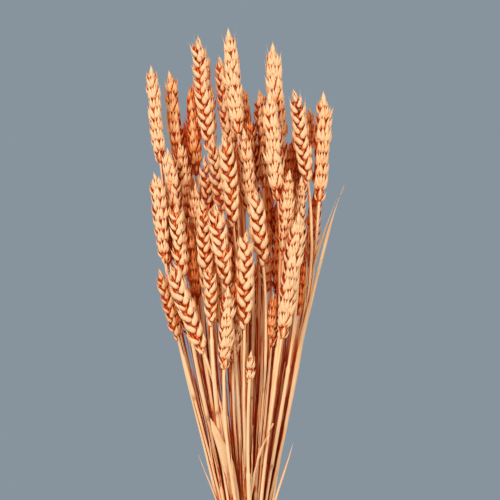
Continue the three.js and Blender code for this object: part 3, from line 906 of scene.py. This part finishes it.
plant = {}      # CAD node: (the piece that stands for it, its slot)
for index, name in enumerate(stalk_names):
    stalk = stalks[name]
    dice = random.Random(100 + index)
    number = int(name[-2:])
    tone = dice.uniform(0.5, 0.9)
    # painted shade: a low tone darkens the ears that stand behind others
    if number in SHADE_PAINTED_EARS:
        tone = 0.0 if number >= FIRST_BACK_EAR else tone / 3
    z = np.arange(stalk["line"][0, 2], stalk["tip"] - EAR_END, LINE_STEP)
    thickness, mark = straw_thickness(z, stalk, dice)
    source = chain(name + "_line", np.column_stack([*place_at(stalk["line"], z), z]), {
        "thickness": ("FLOAT", thickness), "knot": ("FLOAT", mark),
        "in_ear": ("BOOLEAN", z > stalk["ear_base"] - 1 * MM)})
    piece = grown(source, grow_stalk, {
        "Spikelets": spikelets, "Pitch": PITCH * (0.5 + 0.5 * stalk["fan"] / DESIGN_WIDTH),
        "Lean": LEAN, "Size": stalk["fan"] / DESIGN_WIDTH,
        "Fan direction": (*stalk["way"], 0.0), "Tone": tone, "Seed": index,
        "Awned": AWNED_SPIKELETS if number in AWNED_EARS else 0,
        "Husk": husk_material, "Straw": straw_material}, name.replace("wheat_stalk", "grown_stalk"))
    open_foot(piece.data)
    leaves = leaves_of(stalk, dice)
    if leaves:
        join_meshes(piece, leaves)
    plant[name] = (piece, "straw")
print("grown:", len(plant), "stalks,", sum(len(piece.data.polygons) for piece, _ in plant.values()), "faces")

# %% [markdown]
# ## Loose leaves
#
# Six dry leaves stand free of the straws. Their blades follow the CAD leaves' own lines and widths,
# ring by ring. A blade turns slowly along its length, which is why its two halves catch the light
# differently, and each one is rolled and crinkled in its own way: `roll` is the angle that its
# cross-section bends through, `turn` how far it twists on the way up, and `crinkle` the height of
# its waves. The function that makes the hugging leaves makes these too.

# %% Grow the loose leaves
LOOSE_LEAVES = {
    "leaf_long": {"roll": 1.9, "turn": 70, "crinkle": 0.3 * MM},
    "leaf_narrow": {"roll": 2.2, "turn": -60, "crinkle": 0.25 * MM},
    "sheath_open": {"roll": 1.1, "turn": 25, "crinkle": 0.5 * MM},
    "leaf_curled": {"roll": 3.4, "turn": 120, "crinkle": 0.9 * MM},
    "leaf_stub": {"roll": 2.4, "turn": 20, "crinkle": 0.15 * MM},
    "leaf_thread": {"roll": 2.0, "turn": 40, "crinkle": 0.1 * MM},
}
LEAF_ROWS = 48
UNROLLED = 2.5           # width of the flat strip for each unit of a CAD ring's half size


def loose_leaf(name, roll, turn, crinkle):
    rings = level_rings(name)
    line = smooth_line(rings)
    z = np.linspace(line[0, 2], line[-1, 2], LEAF_ROWS)
    widths = UNROLLED * np.interp(z, [ring[0] for ring in rings], [ring[2][0] for ring in rings]) + 0.2 * MM
    # the leaf faces square to the long way of its widest ring, towards the front
    way = max(rings, key=lambda ring: ring[2][0])[3]
    way = way if way[0] < 0 else -way
    front = math.atan2(way[0], -way[1])
    share = (z - z[0]) / (z[-1] - z[0])
    angles = front + np.radians(turn) * (share - 0.6)
    outward = [(math.cos(a), math.sin(a), 0.0) for a in angles]
    path = np.column_stack([*place_at(line, z), z])
    wraps = np.interp(share, [0, 0.35, 0.6, 1], [3.6, 2.8, roll, roll * 0.8])
    dice = random.Random(len(name) + int(turn))
    mesh = leaf_shell("dry_" + name, path, outward, widths, wraps, np.zeros(LEAF_ROWS), crinkle, dice)
    piece = bpy.data.objects.new("dry_" + name, mesh)
    bpy.context.scene.collection.objects.link(piece)
    return piece


for name, look in LOOSE_LEAVES.items():
    piece = loose_leaf(name, **look)
    plant[name] = (piece, "leaf")
    print(piece.name, [round(v / MM, 1) for v in piece.dimensions], "mm")

# %% [markdown]
# ## How much light reached each point
#
# The deep rust is painted shade: the colour is darker where less light comes. How much light came
# is measured on the finished shapes: from every point a few rays go out, spread round the
# surface's normal, and each one counts how far it gets before it hits a husk, a straw or a leaf.
# A point in a gap sees only a millimetre or two, and one on the outside sees far. An ambient
# occlusion node in the material could do this too, but it is slow and an export loses it, while
# stored values stay. One tree joins all the pieces, lets the joined shape catch its own rays,
# and stores the mean at each point. Each point also carries the number of its piece, so the
# values find their way back.

# %% Build the light tree
LIGHT_REACH = 60 * MM        # a ray that gets this far counts as open
LIFT = 0.15 * MM             # the rays start this far off the surface
SIDEWAYS = 0.9               # how far the rays spread round the normal; 1 would reach its level
CORNERS = [Vector((x, y, z)).normalized() for x in (-1, 1) for y in (-1, 1) for z in (-1, 1)]
RAY_WAYS = [Vector((0, 0, 0))] + [corner * SIDEWAYS for corner in CORNERS]


def light_tree():
    tree, given = new_tree("measure_light", {"Pieces": "Collection", "Reach": "Float", "Lift": "Float"},
                           "Whole")
    pieces = add(tree, "GeometryNodeCollectionInfo", {"Collection": given["Pieces"]})
    whole = add(tree, "GeometryNodeRealizeInstances", {"Geometry": pieces})
    normal = add(tree, "GeometryNodeInputNormal")
    off = add(tree, "ShaderNodeVectorMath", {0: normal, "Scale": given["Lift"]}, operation="SCALE")
    start = add(tree, "ShaderNodeVectorMath", {0: add(tree, "GeometryNodeInputPosition"), 1: off},
                operation="ADD")
    total = 0.0
    for ray_way in RAY_WAYS:
        way = add(tree, "ShaderNodeVectorMath", {0: normal, 1: ray_way}, operation="ADD")
        ray = add(tree, "GeometryNodeRaycast",
                  {"Target Geometry": whole, "Source Position": start, "Ray Direction": way,
                   "Ray Length": given["Reach"]})
        share = add(tree, "ShaderNodeMath", {0: ray.outputs["Hit Distance"], 1: given["Reach"]},
                    operation="DIVIDE")
        free = add(tree, "GeometryNodeSwitch", {0: ray.outputs["Is Hit"], 1: 1.0, 2: share},
                   input_type="FLOAT")
        total = add(tree, "ShaderNodeMath", {0: free, 1: total}, operation="ADD")
    mean = add(tree, "ShaderNodeMath", {0: total, 1: len(RAY_WAYS)}, operation="DIVIDE")
    stored = add(tree, "GeometryNodeStoreNamedAttribute",
                 {"Geometry": whole, "Name": "light", "Value": mean}, data_type="FLOAT", domain="POINT")
    add(tree, "NodeGroupOutput", {"Whole": stored})
    return tree


# %% Measure the light
def read_attribute(mesh, name, kind):
    values = np.empty(len(mesh.vertices), kind)
    mesh.attributes[name].data.foreach_get("value", values)
    return values


all_pieces = bpy.data.collections.new("all_pieces")
for number, (piece, _) in enumerate(plant.values()):
    numbers = np.full(len(piece.data.vertices), number, np.int32)
    piece.data.attributes.new("piece", "INT", "POINT").data.foreach_set("value", numbers)
    all_pieces.objects.link(piece)
whole = grown(bpy.data.objects.new("whole", bpy.data.meshes.new("whole")), light_tree(),
              {"Pieces": all_pieces, "Reach": LIGHT_REACH, "Lift": LIFT}, "whole_bundle")
light = read_attribute(whole.data, "light", np.float32)
owner = read_attribute(whole.data, "piece", np.int32)
for number, (name, (piece, slot)) in enumerate(plant.items()):
    piece.data.attributes.new("light", "FLOAT", "POINT").data.foreach_set("value", light[owner == number])
    piece.data.attributes.remove(piece.data.attributes["piece"])
    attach(piece, "root")
    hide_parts(name)
bpy.data.objects.remove(whole)
bpy.data.collections.remove(all_pieces)
print("light at", len(light), "points, tenths:", np.percentile(light, range(0, 101, 10)).round(2))

# %% [markdown]
# ## Jute
#
# The tie is jute twine: three plies laid round one another, with a dry, hairy surface. Jute is
# unbleached brown fibre and matt. The grooves between the plies are painted darker: painted
# shade. The grooves come from the attribute `lobe`, which the sweep leaves on the twine.

# %% Twine material
TWINE = {"diameter": 2.4 * MM, "lay": 7 * MM, "turns": 6, "hairs": 700}
JUTE_FIBRE = 0.7 * MM      # a bundle of fibres, drawn coarser than real to show


def jute_twine():
    material, tree = new_material("jute_twine")
    place = add(tree, "ShaderNodeTexCoord").outputs["Object"]
    lobe = add(tree, "ShaderNodeAttribute", attribute_name="lobe").outputs["Fac"]
    fibre = add(tree, "ShaderNodeTexNoise", {"Vector": place, "Scale": 1 / JUTE_FIBRE, "Detail": 4.0})
    jute = add(tree, "ShaderNodeValToRGB", {0: fibre})
    set_ramp(jute.color_ramp, [(0.3, "#9a7144"), (0.5, "#c49a66"), (0.7, "#dfbb88")])
    # painted shade: darker in the grooves between the plies
    groove = add(tree, "ShaderNodeMapRange", {0: lobe, 1: 0.0, 2: 1.0, 3: 0.5, 4: 0.0})
    colour = add(tree, "ShaderNodeMix", {0: groove, 6: jute, 7: linear("#6b4523")}, data_type="RGBA")
    bump = add(tree, "ShaderNodeBump", {"Height": fibre, "Strength": 0.8, "Distance": 0.25 * MM})
    finish_material(tree, colour, bump, roughness=0.9)
    return material


twine_material = jute_twine()
print("material:", twine_material.name)

# %% [markdown]
# ## The way of the twine
#
# The twine winds round the outline of the CAD tie and climbs one diameter a turn. Then it crosses
# down over the turns at the back, and both ends are tucked in. A spiral curve would be round, but
# a bundle of straws isn't quite, so the way is worked out from the outline. The outline is
# smoothed over its neighbours, because twine under tension lies in one even curve.

# %% The path of the twine
TIE_STEP = 3          # degrees between the points of the path
START = 80            # degrees where the first turn starts, at the back
CROSSING = 66         # degrees round that the end takes to cross down over the turns
tie_points = np.unique(np.array([v.co[:2] for v in nodes["twine_tie"].data.vertices]).round(6), axis=0)
tie_low, tie_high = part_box("twine_tie")
tie_middle = tie_points.mean(0)
diameter = TWINE["diameter"]
bottom = (tie_low[2] + tie_high[2] - (TWINE["turns"] - 1) * diameter) / 2


def tie_reach(degrees):
    """How far the outside of the tie lies from its middle, in one direction."""
    way = np.array([math.cos(math.radians(degrees)), math.sin(math.radians(degrees))])
    return ((tie_points - tie_middle) @ way).max()


reaches = np.array([tie_reach(angle) for angle in range(0, 360, TIE_STEP)])
reaches = sum(np.roll(reaches, k) for k in range(-3, 4)) / 7


def on_tie(degrees, z, lift=0.0):
    """A point on the way round the tie, lifted off its skin by so many diameters."""
    reach = np.interp(degrees % 360, np.arange(0, 361, TIE_STEP), np.append(reaches, reaches[0]))
    angle = math.radians(degrees)
    out = reach + (lift - 0.5) * diameter
    return (tie_middle[0] + out * math.cos(angle), tie_middle[1] + out * math.sin(angle), z)


# the first end comes from inside the bundle
twine_path = [on_tie(START - 24, bottom + 0.4 * diameter, -1.3), on_tie(START - 14, bottom, -0.7)]
all_turns = 360 * TWINE["turns"]
for degrees in range(0, all_turns, TIE_STEP):
    twine_path.append(on_tie(START + degrees, bottom + diameter * (degrees / 360 - 0.5)))
top = twine_path[-1][2]
# the last end crosses down over the turns and goes in under them
for degrees in range(TIE_STEP, CROSSING, TIE_STEP):
    share = degrees / CROSSING
    height = top + (bottom - diameter - top) * share
    lift = 0.92 * min(1, 5 * share, 5 * (1 - share))
    twine_path.append(on_tie(START + all_turns + degrees, height, lift))
end = START + all_turns + CROSSING
twine_path += [on_tie(end + 8, bottom - 0.9 * diameter, -0.7),
               on_tie(end + 16, bottom - 0.2 * diameter, -1.4)]
twine_length = np.sqrt((np.diff(np.array(twine_path), axis=0) ** 2).sum(1)).sum()
print("twine:", round(twine_length, 3), "m in", TWINE["turns"], "turns")

# %% [markdown]
# ## The twine tree
#
# A laid twine is a rule along a path, so Geometry Nodes make it. A profile with three lobes is
# swept along the path, and its tilt grows with the length, one full turn for each lay. Three
# separate plies would look the same from outside and cost three times the faces. Loose fibres
# are thin cones scattered over the surface and tipped over at random.

# %% Build the twine tree
HAIR = {"radius": 0.05 * MM, "length": 1.6 * MM}


def three_lobed_ring(tree, given):
    """A circle whose radius swells and sinks three times round."""
    circle = add(tree, "GeometryNodeCurvePrimitiveCircle", {"Resolution": 18, "Radius": 1.0})
    where = add(tree, "GeometryNodeInputPosition")
    x, y, _ = add(tree, "ShaderNodeSeparateXYZ", {0: where}).outputs
    turn = add(tree, "ShaderNodeMath", {0: y, 1: x}, operation="ARCTAN2")
    half = add(tree, "ShaderNodeMath", {0: turn, 1: 1.5}, operation="MULTIPLY")
    wave = add(tree, "ShaderNodeMath", {0: half}, operation="COSINE")
    lobe = add(tree, "ShaderNodeMath", {0: wave}, operation="ABSOLUTE")
    marked = add(tree, "GeometryNodeStoreNamedAttribute",
                 {"Geometry": circle, "Name": "lobe", "Value": lobe}, data_type="FLOAT", domain="POINT")
    radius = add(tree, "ShaderNodeMath", {0: lobe, 1: 0.13, 2: 0.38}, operation="MULTIPLY_ADD")
    girth = add(tree, "ShaderNodeMath", {0: radius, 1: given["Diameter"]}, operation="MULTIPLY")
    scaled = add(tree, "ShaderNodeVectorMath", {0: where, "Scale": girth}, operation="SCALE")
    return add(tree, "GeometryNodeSetPosition", {"Geometry": marked, "Position": scaled})


def loose_fibres(tree, given, rope):
    hair = add(tree, "GeometryNodeMeshCone",
               {"Vertices": 3, "Side Segments": 2, "Radius Top": 0.0, "Radius Bottom": HAIR["radius"],
                "Depth": HAIR["length"]})
    roots = add(tree, "GeometryNodeDistributePointsOnFaces",
                {"Mesh": rope, "Density": given["Hairs"], "Seed": given["Seed"]})
    tip_over = add(tree, "FunctionNodeRandomValue",
                   {"Min": (0.6, -0.9, 0.0), "Max": (1.3, 0.9, 6.2), "Seed": given["Seed"]},
                   data_type="FLOAT_VECTOR")
    leaned = add(tree, "FunctionNodeRotateRotation",
                 {"Rotation": roots.outputs["Rotation"], "Rotate By": tip_over}, rotation_space="LOCAL")
    hairs = add(tree, "GeometryNodeInstanceOnPoints",
                {"Points": roots, "Instance": hair, "Rotation": leaned})
    return add(tree, "GeometryNodeRealizeInstances", {"Geometry": hairs})


def twine_tree():
    tree, given = new_tree("lay_twine", {
        "Path": "Geometry", "Diameter": "Float", "Lay": "Float", "Hairs": "Float", "Seed": "Int",
        "Jute": "Material"}, "Twine")
    rail = add(tree, "GeometryNodeMeshToCurve", {"Mesh": given["Path"]})
    fine = add(tree, "ShaderNodeMath", {0: given["Lay"], 1: 0.1}, operation="MULTIPLY")
    even = add(tree, "GeometryNodeResampleCurve", {"Curve": rail, "Length": fine}, mode="LENGTH")
    run = add(tree, "GeometryNodeSplineParameter").outputs["Length"]
    lays = add(tree, "ShaderNodeMath", {0: run, 1: given["Lay"]}, operation="DIVIDE")
    tilt = add(tree, "ShaderNodeMath", {0: lays, 1: 2 * math.pi}, operation="MULTIPLY")
    twisted = add(tree, "GeometryNodeSetCurveTilt", {"Curve": even, "Tilt": tilt})
    rope = add(tree, "GeometryNodeCurveToMesh",
               {"Curve": twisted, "Profile Curve": three_lobed_ring(tree, given), "Fill Caps": True})
    both = add(tree, "GeometryNodeJoinGeometry")
    for part in (loose_fibres(tree, given, rope), rope):
        tree.links.new(part.outputs[0], both.inputs[0])
    smooth = add(tree, "GeometryNodeSetShadeSmooth", {"Geometry": both, "Shade Smooth": True})
    dressed = add(tree, "GeometryNodeSetMaterial", {"Geometry": smooth, "Material": given["Jute"]})
    add(tree, "NodeGroupOutput", {"Twine": dressed})
    return tree


# %% Wind the twine
skin = math.pi * diameter * twine_length
twine = grown(chain("twine_path", twine_path, {}), twine_tree(), {
    "Diameter": diameter, "Lay": TWINE["lay"], "Hairs": TWINE["hairs"] / skin,
    "Seed": 5, "Jute": twine_material}, "wound_twine")
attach(twine, "root")
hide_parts("twine_tie")
print("twine mesh:", len(twine.data.polygons), "faces,", [round(v / MM, 1) for v in twine.dimensions], "mm")

# %% [markdown]
# ## Floor and light
#
# The bundle stands on a plain pale floor before a plain blue-grey room. One large soft light in
# front and a little to the left gives the bright husks. The room itself shines warmly, as light
# thrown back from pale walls does, so the gaps stay orange and don't turn black. The camera sees
# the room as plain blue-grey all the same, because a Light Path node tells its rays apart.

# %% Stage
def floor_material():
    material, tree = new_material("pale_floor")
    place = add(tree, "ShaderNodeTexCoord").outputs["Object"]
    grain = add(tree, "ShaderNodeTexNoise", {"Vector": place, "Scale": 12.0, "Detail": 2.0})
    colour = add(tree, "ShaderNodeMix", {0: grain, 6: linear("#c9ced2"), 7: linear("#cfd3d6")},
                 data_type="RGBA")
    shader = add(tree, "ShaderNodeBsdfPrincipled", {"Base Color": colour, "Roughness": 0.8})
    add(tree, "ShaderNodeOutputMaterial", {"Surface": shader})
    return material


bpy.ops.mesh.primitive_circle_add(vertices=96, radius=1.7, fill_type="NGON", location=(0, 0, -0.0005))
floor = bpy.context.object
floor.name = "floor"
floor.data.materials.append(floor_material())

world = bpy.data.worlds.new("studio")
bpy.context.scene.world = world
world.use_nodes = True
room = world.node_tree
room.nodes.clear()
seen = add(room, "ShaderNodeBackground", {"Color": linear("#87939d"), "Strength": 1.0})
lit = add(room, "ShaderNodeBackground", {"Color": linear("#f0dac4"), "Strength": 0.72})
from_camera = add(room, "ShaderNodeLightPath").outputs["Is Camera Ray"]
either = add(room, "ShaderNodeMixShader", {0: from_camera, 1: lit, 2: seen})
add(room, "ShaderNodeOutputWorld", {"Surface": either})


MIDDLE = (0.0, 0.0, 0.4)


def soft_light(name, place, size, power, colour):
    """A round soft light that shines at the middle of the bundle."""
    light = bpy.data.lights.new(name, "AREA")
    light.shape = "DISK"
    light.size = size
    light.energy = power
    light.color = linear(colour)[:3]
    lamp = bpy.data.objects.new(name, light)
    lamp.location = place
    lamp.rotation_euler = (Vector(MIDDLE) - Vector(place)).to_track_quat("-Z", "Y").to_euler()
    bpy.context.scene.collection.objects.link(lamp)


soft_light("key", (-1.1, -2.0, 1.3), 0.8, 37, "#fff2e6")
soft_light("fill", (1.4, -1.8, 0.7), 1.2, 13, "#fff2e6")
soft_light("back", (0.9, 1.7, 1.7), 1.0, 22, "#fff6ee")
print("lights:", [(light.name, light.energy) for light in bpy.data.lights])

# %% [markdown]
# ## Camera
#
# The camera looks straight at the head of the bundle, level with its lower part, so the foot is
# out of the frame. It stands nearly two metres away, which keeps the ears upright and even.

# %% Camera
VIEW_WIDTH = 0.425        # width that the camera takes in at the bundle
CAMERA_DISTANCE = 1.9
CAMERA_SENSOR = 36.0
AIM_FROM_TIP = (0.0187, -0.1885)     # from the tallest ear's tip to the middle of the view: right, up
tip = tallest["line"][-1]
camera_data = bpy.data.cameras.new("camera")
camera_data.sensor_width = CAMERA_SENSOR
camera_data.lens = CAMERA_SENSOR * CAMERA_DISTANCE / VIEW_WIDTH
camera = bpy.data.objects.new("camera", camera_data)
camera.location = (tip[0] + AIM_FROM_TIP[0], -CAMERA_DISTANCE, tip[2] + AIM_FROM_TIP[1])
camera.rotation_euler = (math.pi / 2, 0, 0)
bpy.context.scene.collection.objects.link(camera)
bpy.context.scene.camera = camera
bpy.context.scene.view_settings.view_transform = "Standard"
print("camera:", [round(v, 3) for v in camera.location], "lens", round(camera_data.lens))

# %% [markdown]
# ## Finish
#
# The spikelets were only patterns for the tree, so they go.

# %% Finish
for spare in list(spikelets.objects):
    bpy.data.objects.remove(spare)
bpy.data.collections.remove(spikelets)
